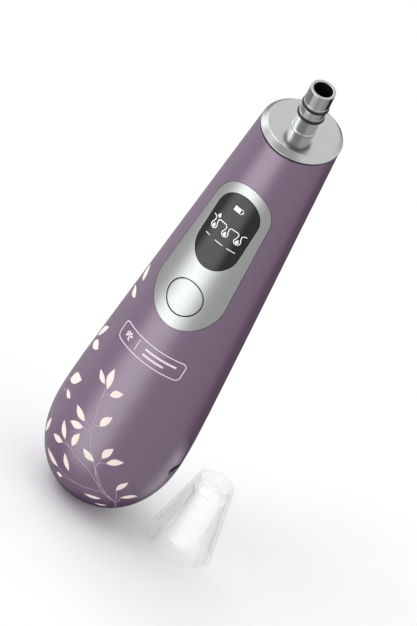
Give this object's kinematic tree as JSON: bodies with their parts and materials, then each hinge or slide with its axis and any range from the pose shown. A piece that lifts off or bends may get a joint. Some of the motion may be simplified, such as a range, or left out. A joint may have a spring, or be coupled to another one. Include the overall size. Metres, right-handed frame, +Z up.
{
  "type": "blackhead vacuum extractor",
  "caption": "Hand-held pore cleaning device: egg-ended tapered body, tilted metal head with suction nozzle, display, button and a loose clear suction tip.",
  "frame": {"origin": "centre of the foot's underside, on the surface that the body stands on", "axes": "+Z up the body's axis towards the head; the display faces -Y; +X is to the right as seen from the display side"},
  "size_m": [0.0706, 0.0468, 0.1767],
  "materials": {
    "body_lacquer": "satin lacquer, muted purple",
    "polished_metal": "polished plating",
    "satin_metal": "satin silver plating",
    "display_black": "gloss black lens with pale printed symbols",
    "black_rubber": "matte",
    "clear_plastic": "clear polished",
    "filter_foam": "open foam",
    "white_nylon": "moulded",
    "black_nylon": "moulded",
    "circuit_board": "solder resist",
    "zinc_steel": "zinc plated",
    "cell_sleeve": "shrink sleeve",
    "silicone": "milky"
  },
  "bodies": {
    "handset": {"front_shell": "body_lacquer", "rear_shell": "body_lacquer", "base_foot": "black_rubber", "top_cap": "polished_metal", "nozzle": "polished_metal", "o_ring_lower": "black_rubber", "o_ring_upper": "black_rubber", "nozzle_filter": "filter_foam", "control_panel": "satin_metal", "display_lens": "display_black", "display_module": "white_nylon", "tact_switch": "black_nylon", "panel_carrier": "black_nylon", "main_board": "circuit_board", "board_screw_1": "zinc_steel", "board_screw_2": "zinc_steel", "battery_cell": "cell_sleeve", "battery_cradle": "black_nylon", "charging_port": "zinc_steel", "motor_end_cap": "white_nylon", "motor_can": "zinc_steel", "motor_isolator": "black_rubber", "pump_head": "black_nylon", "valve_plate": "white_nylon", "pump_screw_1": "zinc_steel", "pump_screw_2": "zinc_steel", "pump_screw_3": "zinc_steel", "suction_hose": "silicone"},
    "button": {"mode_button": "satin_metal", "switch_plunger": "black_nylon"},
    "rotor": {"motor_shaft": "zinc_steel", "eccentric": "white_nylon"},
    "diaphragm": {"diaphragm": "black_rubber"},
    "loose_tip": {"suction_tip": "clear_plastic"}
  },
  "joints": [
    {"name": "button_press", "type": "slide", "parent": "handset", "child": "button", "axis": [0, 1, 0], "range_m": [0, 0.0005], "stiffness_N_per_m": 2000},
    {"name": "motor_spin", "type": "hinge", "parent": "handset", "child": "rotor", "pos_m": [0, 0, 0.045], "axis": [0, 0, 1], "continuous": true},
    {"name": "diaphragm_stroke", "type": "slide", "parent": "handset", "child": "diaphragm", "axis": [0, 0, 1], "range_m": [-0.0008, 0.0008], "stiffness_N_per_m": 300},
    {"name": "tip_lift", "type": "slide", "parent": "handset", "child": "loose_tip", "axis": [0, 0, 1], "range_m": [0, 0.06]}
  ]
}
